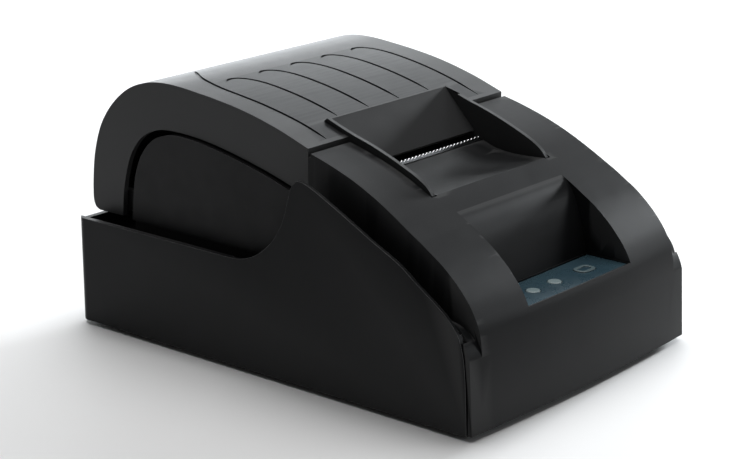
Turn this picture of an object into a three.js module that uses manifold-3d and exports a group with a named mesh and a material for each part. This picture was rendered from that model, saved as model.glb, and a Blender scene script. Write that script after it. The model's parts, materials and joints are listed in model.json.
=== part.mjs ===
// Desktop thermal receipt printer, modelled as its separate pieces.
// Millimetres, +Z up. X runs across the printer, the front faces -Y, and the origin is at the
// middle of the rubber feet's footprint, on the surface that the printer stands on.
import * as THREE from "three";
import { mergeVertices } from "three/addons/utils/BufferGeometryUtils.js";
import Module from "manifold-3d";

const wasm = await Module();
wasm.setup();

// ---------- Driving dimensions ----------
const CASE_HALF_WIDTH = 65;
const CASE_REAR = 94;
const CASE_FRONT = -91.6;
const CASE_WALL = 2.2;
const RIM_HEIGHT = 40.5;
const REAR_RIM_HEIGHT = 39.5;
const FOOT_PROUD = 1.5;
const GAP = 0.3;
const SKIN = 2.2;

const COVER_REAR_HALF = 55.7;
const COVER_FRONT_HALF = 58.3;
const LID_HALF_WIDTH = 55.5;
const LID_FRONT = -14.8;
const HINGE_Y = 86;
const HINGE_Z = 47;
const PIN_RADIUS = 2;
const PIN_END = 54.6;

const WINDOW_HALF_WIDTH = 32.5;
const CHEEK_THICKNESS = 1.6;
const CHANNEL_HALF_WIDTH = 35;
const VALLEY_HALF_WIDTH = 31;
const PANEL_Z = 36.5;
const PANEL_BACK = -72.4;
const FACE_LEAN = 0.05;

const BIN_HALF_WIDTH = 55.2;
const BIN_FRONT = -6.2;
const PAD_HALF_WIDTH = 57;
const PAD_BOTTOM = 41.4;
const ROLL_RADIUS = 31;
const ROLL_Y = 36;
const ROLL_Z = 44;
const ROLL_HALF_WIDTH = 29.8;

const PLATEN_Y = -15;
const PLATEN_Z = 61;
const PLATEN_RADIUS = 6;
const SHAFT_RADIUS = 2;
const GEAR_MODULE = 0.7;
const PLATEN_TEETH = 22;
const IDLER_TEETH = 20;
const PINION_TEETH = 12;
const GEAR_X = [30.4, 32.2];
const IDLER_Y = -17;
const IDLER_Z = 46.43;
const MOTOR_Y = -22;
const MOTOR_Z = 36.4;

const LED_X = [-15.2, -2.4];
const LED_RADIUS = 2.7;
const CONTROL_Y = -81.8;
const BUTTON_X = 15.8;
const BUTTON_HALF = [4.2, 3];
const BUTTON_CORNER = 2.2;
const ROCKER_Y = 89.4;
const ROCKER_TILT = 7;

// ---------- Materials ----------
const finish = (color, roughness, metalness = 0) =>
  new THREE.MeshStandardMaterial({ color, roughness, metalness });
const BLACK_ABS = () => finish(0x17181a, 0.42);
const LID_ABS = () => finish(0x1d1f22, 0.38);
const INNER_ABS = () => finish(0x141416, 0.55);
const STEEL = () => finish(0xb9bcc0, 0.28, 1);
const RUBBER = () => finish(0x1b1b1b, 0.85);
const NYLON = () => finish(0xe4e2d8, 0.5);
const BOARD_GREEN = () => finish(0x1c5a34, 0.5);
const ALUMINIUM = () => finish(0xa9adb2, 0.4, 1);
const FILM_BLUE = () => finish(0x3c6574, 0.35);
const LENS_WHITE = () => finish(0xe9eef0, 0.2);
const BRASS = () => finish(0xc9a24a, 0.35, 1);

// ---------- Solid helpers ----------
// A closed geometry as a manifold solid.
function toSolid(geometry) {
  const bare = geometry.index ? geometry.toNonIndexed() : geometry;
  bare.deleteAttribute("normal");
  bare.deleteAttribute("uv");
  const merged = mergeVertices(bare, 1e-4);
  return new wasm.Manifold(
    new wasm.Mesh({
      numProp: 3,
      vertProperties: merged.attributes.position.array,
      triVerts: new Uint32Array(merged.index.array),
    }),
  );
}

const join = (first, ...others) => others.reduce((sum, other) => sum.add(other), first);
const cut = (first, ...others) => others.reduce((rest, other) => rest.subtract(other), first);

function extrudeShape(points, depth, basis, shift) {
  const shape = new THREE.Shape(points.map(([a, b]) => new THREE.Vector2(a, b)));
  const geometry = new THREE.ExtrudeGeometry(shape, { depth, bevelEnabled: false });
  geometry.applyMatrix4(basis);
  geometry.translate(...shift);
  return toSolid(geometry);
}

const AXIS_X = new THREE.Vector3(1, 0, 0);
const AXIS_Y = new THREE.Vector3(0, 1, 0);
const AXIS_Z = new THREE.Vector3(0, 0, 1);
const FROM_YZ = new THREE.Matrix4().makeBasis(AXIS_Y, AXIS_Z, AXIS_X);
const FROM_XZ = new THREE.Matrix4().makeBasis(AXIS_X, AXIS_Z, AXIS_Y.clone().negate());

// A side profile of [y, z] points, extruded across from x0 to x1.
const extrudeX = (points, x0, x1) => extrudeShape(points, x1 - x0, FROM_YZ, [x0, 0, 0]);
// A front profile of [x, z] points, extruded along Y from y0 to y1.
const extrudeY = (points, y0, y1) => extrudeShape(points, y1 - y0, FROM_XZ, [0, y1, 0]);
// A plan of [x, y] points, extruded up from z0 to z1.
const extrudeZ = (points, z0, z1) => extrudeShape(points, z1 - z0, new THREE.Matrix4(), [0, 0, z0]);

function box(x0, x1, y0, y1, z0, z1) {
  const geometry = new THREE.BoxGeometry(x1 - x0, y1 - y0, z1 - z0);
  geometry.translate((x0 + x1) / 2, (y0 + y1) / 2, (z0 + z1) / 2);
  return toSolid(geometry);
}

function cylinder(radius, length, sides) {
  return new THREE.CylinderGeometry(radius, radius, length, sides);
}

function cylinderX(y, z, radius, x0, x1, sides = 24) {
  const geometry = cylinder(radius, x1 - x0, sides).rotateZ(Math.PI / 2);
  return toSolid(geometry.translate((x0 + x1) / 2, y, z));
}

function cylinderY(x, z, radius, y0, y1, sides = 24) {
  return toSolid(cylinder(radius, y1 - y0, sides).translate(x, (y0 + y1) / 2, z));
}

function cylinderZ(x, y, radius, z0, z1, sides = 24) {
  const geometry = cylinder(radius, z1 - z0, sides).rotateX(Math.PI / 2);
  return toSolid(geometry.translate(x, y, (z0 + z1) / 2));
}

// A smooth run of points through the given ones.
function curveThrough(points, count) {
  const knots = points.map(([a, b]) => new THREE.Vector2(a, b));
  return new THREE.SplineCurve(knots).getPoints(count).map((p) => [p.x, p.y]);
}

// The same run of points, moved sideways by a distance to the right of its direction.
function offset(points, distance) {
  return points.map((point, i) => {
    const before = points[Math.max(i - 1, 0)];
    const after = points[Math.min(i + 1, points.length - 1)];
    const [dy, dz] = [after[0] - before[0], after[1] - before[1]];
    const length = Math.hypot(dy, dz);
    return [point[0] + (distance * dz) / length, point[1] - (distance * dy) / length];
  });
}

function roundedRectangle(x0, x1, y0, y1, radius, steps = 5) {
  const corners = [
    [x1 - radius, y0 + radius, -90],
    [x1 - radius, y1 - radius, 0],
    [x0 + radius, y1 - radius, 90],
    [x0 + radius, y0 + radius, 180],
  ];
  return corners.flatMap(([x, y, start]) =>
    Array.from({ length: steps + 1 }, (_, i) => {
      const angle = THREE.MathUtils.degToRad(start + (90 * i) / steps);
      return [x + radius * Math.cos(angle), y + radius * Math.sin(angle)];
    }),
  );
}

const both = (make) => join(make(1), make(-1));
// A box from |x| = inner to |x| = outer on one side of the middle.
function sideBox(side, inner, outer, ...yz) {
  return side > 0 ? box(inner, outer, ...yz) : box(-outer, -inner, ...yz);
}
function sideExtrude(side, points, inner, outer) {
  return side > 0 ? extrudeX(points, inner, outer) : extrudeX(points, -outer, -inner);
}

// A plan outline, drawn for the right-hand side, carried from one height to another.
function sidePlan(side, points, z0, z1) {
  const plan = side > 0 ? points : points.map(([x, y]) => [-x, y]).reverse();
  return extrudeZ(plan, z0, z1);
}

// ---------- The assembly ----------
const printer = new THREE.Group();
printer.name = "receipt_printer";
printer.position.z = FOOT_PROUD;

function addPiece(name, solid, material) {
  const made = solid.getMesh();
  const geometry = new THREE.BufferGeometry();
  geometry.setAttribute("position", new THREE.BufferAttribute(made.vertProperties, 3));
  geometry.setIndex(new THREE.BufferAttribute(made.triVerts, 1));
  const flat = geometry.toNonIndexed();
  flat.computeVertexNormals();
  const mesh = new THREE.Mesh(flat, material);
  mesh.name = name;
  printer.add(mesh);
}

// ---------- Side profiles, as [y, z] ----------
const LID_OUTLINE = curveThrough(
  [
    [91.2, 41.5],
    [93.3, 42.5],
    [94.3, 45],
    [94.4, 49],
    [94, 55],
    [92.6, 64.3],
    [88.6, 75.5],
    [82, 84.4],
    [73, 91.4],
    [63, 95],
    [53, 96],
    [37, 94.9],
    [17, 92.2],
    [0, 88.2],
    [LID_FRONT, 83.3],
  ],
  36,
);
const LID_BAND_EDGE = curveThrough(
  [
    [78.6, 41.5],
    [77.8, 50],
    [76, 58.5],
    [72.5, 67.3],
    [66.5, 74.2],
    [58, 78],
    [47.3, 78.7],
    [30.3, 77.2],
    [7.1, 72.4],
    [LID_FRONT, 66.2],
  ],
  20,
);
const BIN_EDGE = curveThrough(
  [
    [72, PAD_BOTTOM],
    [71.2, 49.4],
    [69.2, 60.5],
    [65.3, 68.6],
    [59, 74.7],
    [50.4, 77.5],
    [42.8, 77.7],
    [30.3, 76.3],
    [7.1, 71.5],
    [BIN_FRONT, 67.6],
  ],
  20,
);
const RAIL_TOP = curveThrough(
  [
    [-15.4, 82],
    [-23, 80],
    [-35, 76.2],
    [-45.5, 71.8],
    [-55, 66.9],
    [-62, 62.9],
    [-66.1, 60.6],
    [-70.4, 57.9],
    [-74.7, 55.2],
    [-78.9, 51.9],
    [-83.2, 47.9],
    [-87.5, 43],
    [-90.2, 38.4],
    [-91.8, 34],
  ],
  26,
);
// The cover's plan, as [x, y]: level with the lid's side at the back, wider towards the front.
const COVER_SIDE = curveThrough(
  [
    [COVER_REAR_HALF, -15.4],
    [56.5, -35],
    [57.3, -50],
    [58.1, -63],
    [COVER_FRONT_HALF, -74],
  ],
  10,
);
// The top of the block that fills each front corner, beside the case wall's curved end.
const CORNER_TOP = curveThrough(
  [
    [-79, 38.4],
    [-83.6, 37.6],
    [-86.8, 35.2],
    [-89.4, 31.6],
    [-91.6, 27],
    [-93.4, 21.4],
  ],
  10,
);
const SIDE_WALL_TOP = curveThrough(
  [
    [14.6, RIM_HEIGHT],
    [8, 41.3],
    [0.7, 44.6],
    [-6.2, 50.7],
    [-10.8, 57.9],
    [-13.6, 66.5],
    [-15.6, 72.2],
    [-18.2, 74.3],
    [-22, 73.7],
    [-35, 67.8],
    [-50.4, 59.9],
    [-63.2, 53.5],
    [-71.3, 47.9],
    [-79.4, 42.5],
    [-84.1, 38.7],
    [-87.6, 34.4],
    [-89.8, 28],
    [-90.9, 18],
  ],
  34,
);
const VISOR_TOP = curveThrough(
  [
    [-4.8, 88.3],
    [-14.8, 84.8],
    [-26, 81.5],
    [-36.9, 77.5],
    [-45.8, 73.6],
    [-50, 70.9],
    [-52.2, 68.4],
  ],
  12,
);
const DISH = curveThrough(
  [
    [-24.2, 70.9],
    [-30, 68.2],
    [-38, 66.7],
    [-46, 66.9],
    [-50.4, 68.1],
    [-52.2, 68.4],
  ],
  16,
);
const DRUM = curveThrough(
  [
    [-61.8, 62.9],
    [-64.6, 60.2],
    [-67.2, 55.6],
    [-69.4, 48.6],
    [-71.2, 41.5],
    [PANEL_BACK, PANEL_Z],
  ],
  10,
);

// ---------- Casing ----------
const FLOOR = 2.5;
const INNER_HALF = CASE_HALF_WIDTH - CASE_WALL;
const FRAME_POSTS = [
  [28, -31],
  [-28, -31],
  [28, -12],
  [-28, -12],
];
const SHELF_Z = [32, 34.2];
const REAR_SOCKETS = { rocker: -40, power: -17, data: 5, drawer: 27 };
const SOCKET_Z = 17;
const COVER_SCREWS = [
  [48, -70],
  [-48, -70],
];
const BOARD_SCREWS = [
  [40, -46],
  [-40, -46],
];
const INTERFACE_POSTS = [
  [-24, 78],
  [33, 78],
];
const FOOT_RADIUS = 6;
const FOOT_PLACES = [
  [52, 80],
  [-52, 80],
  [54, -80],
  [-54, -80],
];

function makeLowerCase() {
  const front = -88.4;
  const cornerSteps = 5;
  const plan = roundedRectangle(
    -CASE_HALF_WIDTH, CASE_HALF_WIDTH, front, CASE_REAR, 4, cornerSteps,
  );
  const hollow = roundedRectangle(
    -INNER_HALF, INNER_HALF, front - 20, CASE_REAR - CASE_WALL, 2.5, cornerSteps,
  );
  const tray = cut(extrudeZ(plan, 0, RIM_HEIGHT), extrudeZ(hollow, FLOOR, RIM_HEIGHT + 1));
  const rearNotch = box(-INNER_HALF, INNER_HALF, 80, 100, REAR_RIM_HEIGHT, RIM_HEIGHT + 1);
  const wallProfile = [
    [60, RIM_HEIGHT],
    ...SIDE_WALL_TOP,
    [CASE_FRONT + 0.2, 6],
    [CASE_FRONT, 0],
    [60, 0],
  ];
  const frontCut = box(-70, 70, -110, -30, FLOOR, 100);
  const walls = both((side) => sideExtrude(side, wallProfile, INNER_HALF, CASE_HALF_WIDTH));
  const shelves = both((side) =>
    sideBox(side, 57.8, INNER_HALF + 0.5, -12, 78, ...SHELF_Z),
  );
  const posts = [
    ...FRAME_POSTS.map(([x, y]) => cylinderZ(x, y, 3.5, FLOOR - 0.5, 25.7, 16)),
    ...COVER_SCREWS.map(([x, y]) => cylinderZ(x, y, 4.4, 0.5, 5.2, 16)),
    ...BOARD_SCREWS.map(([x, y]) => cylinderZ(x, y, 3, FLOOR - 0.5, 7.7, 14)),
    ...INTERFACE_POSTS.map(([x, y]) => cylinderZ(x, y, 2.5, FLOOR - 0.5, 9.1, 14)),
  ];
  const bores = [
    ...FRAME_POSTS.map(([x, y]) => cylinderZ(x, y, 1.6, 10, 30, 12)),
    ...BOARD_SCREWS.map(([x, y]) => cylinderZ(x, y, 1.5, 3, 10, 12)),
    ...COVER_SCREWS.map(([x, y]) => cylinderZ(x, y, 1.6, -1, 8, 12)),
    ...COVER_SCREWS.map(([x, y]) => cylinderZ(x, y, 2.8, -1, 2.6, 16)),
  ];
  const footWells = FOOT_PLACES.map(([x, y]) => cylinderZ(x, y, FOOT_RADIUS + GAP, -1, 0.9, 20));
  const openings = [
    box(REAR_SOCKETS.rocker - 9.8, REAR_SOCKETS.rocker + 9.8, 85, 100, 10.2, 23.8),
    box(REAR_SOCKETS.power - 6.3, REAR_SOCKETS.power + 6.3, 85, 100, 10.7, 23.3),
    box(REAR_SOCKETS.data - 6.3, REAR_SOCKETS.data + 6.3, 85, 100, 10.7, 23.3),
    box(REAR_SOCKETS.drawer - 8.3, REAR_SOCKETS.drawer + 8.3, 85, 100, 10.7, 25.3),
  ];
  const trimmedTray = cut(tray, rearNotch, frontCut);
  return cut(join(trimmedTray, walls, shelves, ...posts), ...bores, ...footWells, ...openings);
}

function makeFoot(x, y) {
  const profile = [
    new THREE.Vector2(0, -FOOT_PROUD),
    new THREE.Vector2(FOOT_RADIUS - 1, -FOOT_PROUD),
    new THREE.Vector2(FOOT_RADIUS - 0.1, -0.8),
    new THREE.Vector2(FOOT_RADIUS, 0.6),
    new THREE.Vector2(0, 0.6),
  ];
  const geometry = new THREE.LatheGeometry(profile, 20).rotateX(Math.PI / 2);
  return toSolid(geometry.translate(x, y, 0));
}

// The front cover: rails over the mechanism, a dished tear-off lip, a curved drop down to the
// control panel, and the full-width front face.
function makeFrontCover() {
  const bottom = 0.6;
  const railOutline = [...RAIL_TOP, [-92.6, bottom], [-15.4, bottom]];
  const wideBlock = extrudeX(railOutline, -COVER_FRONT_HALF, COVER_FRONT_HALF);
  const beside = [[70, 0], [COVER_REAR_HALF, 0], ...COVER_SIDE, [70, -74]];
  const block = cut(wideBlock, both((side) => sidePlan(side, beside, -1, 100)));

  // The front face: bowed forward a little in plan, with rounded corners, and leaning back.
  const faceHalf = CASE_HALF_WIDTH - 0.4;
  const corner = 1.8;
  const cornerY = CASE_FRONT - 0.2;
  const bow = 2.2;
  const flatHalf = faceHalf - corner;
  const facePlan = [];
  for (let i = 0; i <= 12; i++) {
    const x = flatHalf * (i / 6 - 1);
    facePlan.push([x, cornerY - corner - bow * (1 - (x / flatHalf) ** 2)]);
  }
  for (let i = 1; i <= 4; i++) {
    const angle = THREE.MathUtils.degToRad(-90 + (90 * i) / 4);
    facePlan.push([flatHalf + corner * Math.cos(angle), cornerY + corner * Math.sin(angle)]);
  }
  facePlan.push([faceHalf, -89.6], [-faceHalf, -89.6]);
  for (let i = 0; i <= 3; i++) {
    const angle = THREE.MathUtils.degToRad(180 + (90 * i) / 4);
    facePlan.push([-flatHalf + corner * Math.cos(angle), cornerY + corner * Math.sin(angle)]);
  }
  const faceTop = PANEL_Z - 0.2;
  const lean = new THREE.Matrix4().makeShear(0, 0, 0, 0, 0, FACE_LEAN);
  const plate = extrudeShape(facePlan, faceTop - bottom, lean, [0, 0, bottom]);
  const cornerAir = both((side) =>
    sideExtrude(side, [...CORNER_TOP, [-100, 20], [-100, 60], [-78, 60]], COVER_FRONT_HALF, 70),
  );
  const cornerPlan = [
    [COVER_FRONT_HALF, -91],
    [INNER_HALF - 0.4, -91],
    [INNER_HALF - 0.4, -80.4],
  ];
  const cornerBlocks = both((side) => sidePlan(side, cornerPlan, 8, 40));
  const sideClear = both((side) => {
    const behindWall = [
      [CASE_FRONT - GAP, 0],
      [CASE_FRONT - GAP, 10],
      [-91.3, 18],
      [-90.2, 28],
      [-88, 34.6],
      [-84, 40],
      [-70, 40],
      [-70, 0],
    ];
    return sideExtrude(side, behindWall, INNER_HALF - 0.4, 70);
  });
  const face = cut(join(plate, cornerBlocks), cornerAir, sideClear);

  const railInside = [
    ...offset(RAIL_TOP, -SKIN),
    [-90.2, bottom - 1],
    [-10, bottom - 1],
    [-10, 80.4],
  ];
  const middleTop = [...DISH.filter(([y]) => y > -50), ...DRUM];
  const middleInside = [...offset(middleTop, -SKIN), [PANEL_BACK - 6, PANEL_Z - SKIN]];
  const underPanel = [[-90.2, PANEL_Z - SKIN], [-90.2, bottom - 1], [-20, bottom - 1], [-20, 68]];
  const above = 100;
  const panelAir = extrudeX(
    [...DRUM, [-100, PANEL_Z], [-100, above], [-61.8, above]],
    -VALLEY_HALF_WIDTH,
    VALLEY_HALF_WIDTH,
  );
  const dishAir = extrudeX(
    [[-24.1, above], ...DISH, [-52.8, above]],
    -WINDOW_HALF_WIDTH + 0.7,
    WINDOW_HALF_WIDTH - 0.7,
  );
  const channelProfile = [[-10, 64.2], [-10, above], [-52.9, above], [-52.9, 64.2]];
  const channels = both((side) =>
    sideExtrude(side, channelProfile, WINDOW_HALF_WIDTH - 0.7, CHANNEL_HALF_WIDTH),
  );
  const slot = box(-CHANNEL_HALF_WIDTH, CHANNEL_HALF_WIDTH, -24.2, -5, -5, above);
  const mechanismRoom = extrudeX(
    [[-24.2, 79], [-24.2, -5], [-5, -5], [-5, 85], [-15.4, 80]],
    -COVER_REAR_HALF + SKIN,
    COVER_REAR_HALF - SKIN,
  );
  const railRoom = both((side) =>
    sideExtrude(side, railInside, CHANNEL_HALF_WIDTH + SKIN, COVER_REAR_HALF - SKIN),
  );
  const middleRoom = extrudeX([...middleInside, ...underPanel], -29.4, 29.4);
  const gearRoom = box(-43, 43, -40.5, -20, -5, 62.2);
  const lowRoom = box(-COVER_REAR_HALF + SKIN, COVER_REAR_HALF - SKIN, -90.2, 0, -5, 33);
  const skirtCut = both((side) => sideBox(side, 50, 60, -88.8, 0, -5, 26));
  const panelHoles = [
    cylinderZ(LED_X[0], CONTROL_Y, LED_RADIUS + GAP, 20, 50, 20),
    cylinderZ(LED_X[1], CONTROL_Y, LED_RADIUS + GAP, 20, 50, 20),
    extrudeZ(roundedRectangle(...buttonPlan(GAP), BUTTON_CORNER + GAP, 4), 20, 50),
  ];
  const screwBores = COVER_SCREWS.map(([x, y]) => cylinderZ(x, y, 1.5, -2, 18, 10));
  const bosses = COVER_SCREWS.map(([x, y]) => cylinderZ(x, y, 3.4, 5.6, 57, 14));
  const hollow = cut(
    join(block, face),
    panelAir, dishAir, channels, slot, mechanismRoom, railRoom, middleRoom, gearRoom, lowRoom,
    skirtCut,
  );
  return cut(join(hollow, ...bosses), ...screwBores, ...panelHoles, panelAir);
}

function buttonPlan(grow) {
  return [
    BUTTON_X - BUTTON_HALF[0] - grow,
    BUTTON_X + BUTTON_HALF[0] + grow,
    CONTROL_Y - BUTTON_HALF[1] - grow,
    CONTROL_Y + BUTTON_HALF[1] + grow,
  ];
}

// The hinged paper cover: an arched shell with side bands, and a visor with two cheeks that
// run forward over the front cover on each side of the paper window.
function makeLid() {
  const bandOutline = [...LID_OUTLINE, ...[...LID_BAND_EDGE].reverse()];
  const arch = extrudeX(bandOutline, -LID_HALF_WIDTH, LID_HALF_WIDTH);
  const under = offset(LID_OUTLINE, -SKIN);
  const firstUnder = under[0];
  const lastUnder = under[under.length - 1];
  const inside = [
    [firstUnder[0], 30],
    ...under.slice(0, -1),
    [LID_FRONT + SKIN, lastUnder[1] - 0.6],
    [LID_FRONT + SKIN, 30],
  ];
  const room = extrudeX(inside, -LID_HALF_WIDTH + SKIN, LID_HALF_WIDTH - SKIN);
  const frontWallTrim = box(-LID_HALF_WIDTH + SKIN, LID_HALF_WIDTH - SKIN, -20, -10, 50, 75);
  const visorClear = box(-WINDOW_HALF_WIDTH - 1, WINDOW_HALF_WIDTH + 1, -20, -10, 50, 80.5);
  const shell = cut(arch, room, frontWallTrim, visorClear);

  const cheekOuter = WINDOW_HALF_WIDTH + CHEEK_THICKNESS;
  const cheekOutline = [
    [-2, 86],
    ...VISOR_TOP,
    [-52, 65.2],
    [-20, 65.6],
    [-12, 74],
    [-2, 80],
  ];
  const cheeks = both((side) =>
    sideExtrude(side, cheekOutline, WINDOW_HALF_WIDTH, cheekOuter),
  );
  const visorProfile = [[-2, 86], [-4.8, 88.3], [-14.8, 84.8], [-14.8, 80], [-2, 82]];
  const visorBlock = extrudeX(visorProfile, -cheekOuter, cheekOuter);
  const windowProfile = [[-6, 88.6], [-6, 100], [-60, 100], [-60, 50], [-19.6, 50], [-19.6, 73.4]];
  const windowAir = extrudeX(windowProfile, -WINDOW_HALF_WIDTH, WINDOW_HALF_WIDTH);
  const scoopProfile = [[-4.6, 87.6], [-6, 88.4], [-19.4, 73.4], [-18.2, 72.4], [-2.6, 85.2]];
  const scoop = extrudeX(scoopProfile, -cheekOuter, cheekOuter);
  const pinHole = cylinderX(HINGE_Y, HINGE_Z, PIN_RADIUS + GAP, -PIN_END - GAP, PIN_END + GAP, 20);
  const body = cut(join(shell, visorBlock), windowAir);
  return cut(join(body, cheeks, scoop), pinHole);
}

// The bracket under the visor that carries the platen roller between its two arms.
function makeRollerBracket() {
  const arm = [
    [-19, 57.4],
    [-11, 57.4],
    [-10.6, 66],
    [-4.6, 80],
    [-5.2, 81.1],
    [-8.4, 80],
    [-16.9, 71.6],
    [-19, 66],
  ];
  const arms = both((side) => sideExtrude(side, arm, 29.1, 30.1));
  const web = extrudeX([[-8.6, 71], [-6.6, 71], [-3.4, 78.6], [-5.2, 79.6]], -29.6, 29.6);
  const bores = cylinderX(PLATEN_Y, PLATEN_Z, SHAFT_RADIUS + GAP, -40, 40, 20);
  return cut(join(arms, web), bores);
}

function makePlatenRubber() {
  const sleeve = cylinderX(PLATEN_Y, PLATEN_Z, PLATEN_RADIUS, -28.8, 28.8, 36);
  return cut(sleeve, cylinderX(PLATEN_Y, PLATEN_Z, SHAFT_RADIUS + 0.05, -40, 40, 24));
}

function makePlatenShaft() {
  return cylinderX(PLATEN_Y, PLATEN_Z, SHAFT_RADIUS, -36.2, 36.2, 24);
}

function makeBush(side) {
  const [x0, x1] = side > 0 ? [32.9, 35.3] : [-35.3, -32.9];
  const ring = cylinderX(PLATEN_Y, PLATEN_Z, 3.5, x0, x1, 24);
  return cut(ring, cylinderX(PLATEN_Y, PLATEN_Z, SHAFT_RADIUS + 0.05, x0 - 1, x1 + 1, 24));
}

// A spur gear on the X axis; turn is its first tooth's angle.
function makeGear(teeth, y, z, x0, x1, bore, turn) {
  const pitch = (GEAR_MODULE * teeth) / 2;
  const tip = pitch + GEAR_MODULE * 0.9;
  const root = pitch - GEAR_MODULE * 1.2;
  const step = (2 * Math.PI) / teeth;
  const flanks = [
    [-0.36, root],
    [-0.215, pitch],
    [-0.1, tip],
    [0.1, tip],
    [0.215, pitch],
    [0.36, root],
  ];
  const outline = [];
  for (let tooth = 0; tooth < teeth; tooth++) {
    for (const [part, radius] of flanks) {
      const angle = turn + (tooth + part) * step;
      outline.push([y + radius * Math.cos(angle), z + radius * Math.sin(angle)]);
    }
  }
  return cut(extrudeX(outline, x0, x1), cylinderX(y, z, bore, x0 - 1, x1 + 1, 20));
}

const angleBetween = (y0, z0, y1, z1) => Math.atan2(z1 - z0, y1 - y0);
const toIdler = angleBetween(PLATEN_Y, PLATEN_Z, IDLER_Y, IDLER_Z);
const toPinion = angleBetween(IDLER_Y, IDLER_Z, MOTOR_Y, MOTOR_Z);
const halfTooth = (teeth) => Math.PI / teeth;
// The idler's teeth are placed by the platen gear's, and the pinion's by the idler's.
const idlerTurn = toIdler + Math.PI + halfTooth(IDLER_TEETH);
const idlerStep = (2 * Math.PI) / IDLER_TEETH;
const idlerPhase = (((toPinion - idlerTurn) % idlerStep) + idlerStep) % idlerStep;
const pinionTurn =
  toPinion + Math.PI + halfTooth(PINION_TEETH) + (idlerPhase * IDLER_TEETH) / PINION_TEETH;

// ---------- Paper bin ----------
// The bin holds the roll in a round-bottomed trough. Its two D-shaped sides show under the
// lid's bands, each with a raised pad, and its rear arms carry the lid's hinge pins.
function makePaperBin() {
  const foot = 2.8;
  const outline = [[72, foot], ...BIN_EDGE, [BIN_FRONT, foot]];
  const body = extrudeX(outline, -BIN_HALF_WIDTH, BIN_HALF_WIDTH);
  const pads = both((side) =>
    sideExtrude(side, [...BIN_EDGE, [BIN_FRONT, PAD_BOTTOM]], BIN_HALF_WIDTH - 0.5, PAD_HALF_WIDTH),
  );
  const noseProfile = [[0, 36], [0, 69.2], [LID_FRONT, 65.3], [LID_FRONT, 36]];
  const noses = both((side) =>
    sideExtrude(side, noseProfile, BIN_HALF_WIDTH - SKIN, PAD_HALF_WIDTH),
  );
  const inside = [
    [72 - SKIN, foot - 1],
    ...offset(BIN_EDGE, SKIN * -1),
    [BIN_FRONT + SKIN, foot - 1],
  ];
  const sideRooms = both((side) =>
    sideExtrude(side, inside, ROLL_HALF_WIDTH + SKIN, BIN_HALF_WIDTH - SKIN),
  );
  const roll = cylinderX(ROLL_Y, ROLL_Z, ROLL_RADIUS, -ROLL_HALF_WIDTH, ROLL_HALF_WIDTH, 48);
  const rollAbove = box(
    -ROLL_HALF_WIDTH, ROLL_HALF_WIDTH, ROLL_Y - ROLL_RADIUS, ROLL_Y + ROLL_RADIUS, ROLL_Z, 100,
  );
  const troughShell = join(
    cylinderX(ROLL_Y, ROLL_Z, ROLL_RADIUS + SKIN, -60, 60, 48),
    box(-60, 60, ROLL_Y - ROLL_RADIUS - SKIN, ROLL_Y + ROLL_RADIUS + SKIN, ROLL_Z, 100),
  );
  const underTrough = cut(
    extrudeX(inside, -ROLL_HALF_WIDTH, ROLL_HALF_WIDTH),
    troughShell,
    box(-60, 60, -20, 100, ROLL_Z, 100),
  );
  const paperExit = box(-ROLL_HALF_WIDTH, ROLL_HALF_WIDTH, -20, 20, 54, 100);
  const arms = both((side) => {
    const reach = sideBox(side, 49.6, 52.4, 69, HINGE_Y, HINGE_Z - 4, HINGE_Z + 4);
    const [x0, x1] = side > 0 ? [49.6, 52.4] : [-52.4, -49.6];
    return join(reach, cylinderX(HINGE_Y, HINGE_Z, 4, x0, x1, 24));
  });
  const pinHoles = cylinderX(HINGE_Y, HINGE_Z, PIN_RADIUS + 0.05, -60, 60, 20);
  const shell = cut(body, sideRooms, roll, rollAbove, underTrough, paperExit);
  return cut(join(shell, pads, noses, arms), pinHoles);
}

function makeHingePin(side) {
  const [x0, x1] = side > 0 ? [48.6, PIN_END] : [-PIN_END, -48.6];
  return cylinderX(HINGE_Y, HINGE_Z, PIN_RADIUS, x0, x1, 20);
}

function makePaperSensor() {
  return join(box(-3, 3, 9.6, 14.6, 6.4, 10), box(-4.4, 4.4, 8.6, 15.6, 5, 6.6));
}

// ---------- Print mechanism ----------
const SIDE_PLATE = [33, 35];
const HEAD_PIVOT_Y = -24.6;
const HEAD_PIVOT_Z = 51;

function makeMechanismFrame() {
  const plate = [
    [-36, 26],
    [-8, 26],
    [-8, 64.9],
    [-23.4, 64.9],
    [-23.4, 61.6],
    [-36, 61.6],
  ];
  const plates = both((side) => sideExtrude(side, plate, ...SIDE_PLATE));
  const front = box(-SIDE_PLATE[1], SIDE_PLATE[1], -36, -34.4, 33, 61.6);
  const base = box(-SIDE_PLATE[1], SIDE_PLATE[1], -36, -8, 26, 27.6);
  const bushSlot = join(
    cylinderX(PLATEN_Y, PLATEN_Z, 3.8, -50, 50, 24),
    extrudeX([[-18.8, 61], [-11.2, 61], [-9.4, 70], [-18.8, 70]], -50, 50),
  );
  const shaftBore = cylinderX(MOTOR_Y, MOTOR_Z, 3, 30, 40, 16);
  const pivotBores = cylinderX(HEAD_PIVOT_Y, HEAD_PIVOT_Z, 1.3, -50, 50, 16);
  const idlerBore = cylinderX(IDLER_Y, IDLER_Z, 1.6, 30, 40, 16);
  const screwHoles = FRAME_POSTS.map(([x, y]) => cylinderZ(x, y, 1.8, 20, 30, 14));
  return cut(join(plates, front, base), bushSlot, shaftBore, pivotBores, idlerBore, ...screwHoles);
}

function makeHeatSink() {
  const plate = box(-29, 29, -25.2, -22.9, 49.4, 65);
  const ribs = [-20, -7, 7, 20].map((x) => box(x - 1, x + 1, -26.6, -25, 55, 63));
  const rod = cylinderX(HEAD_PIVOT_Y, HEAD_PIVOT_Z, 1, -36, 36, 12);
  return join(plate, rod, ...ribs);
}

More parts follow.
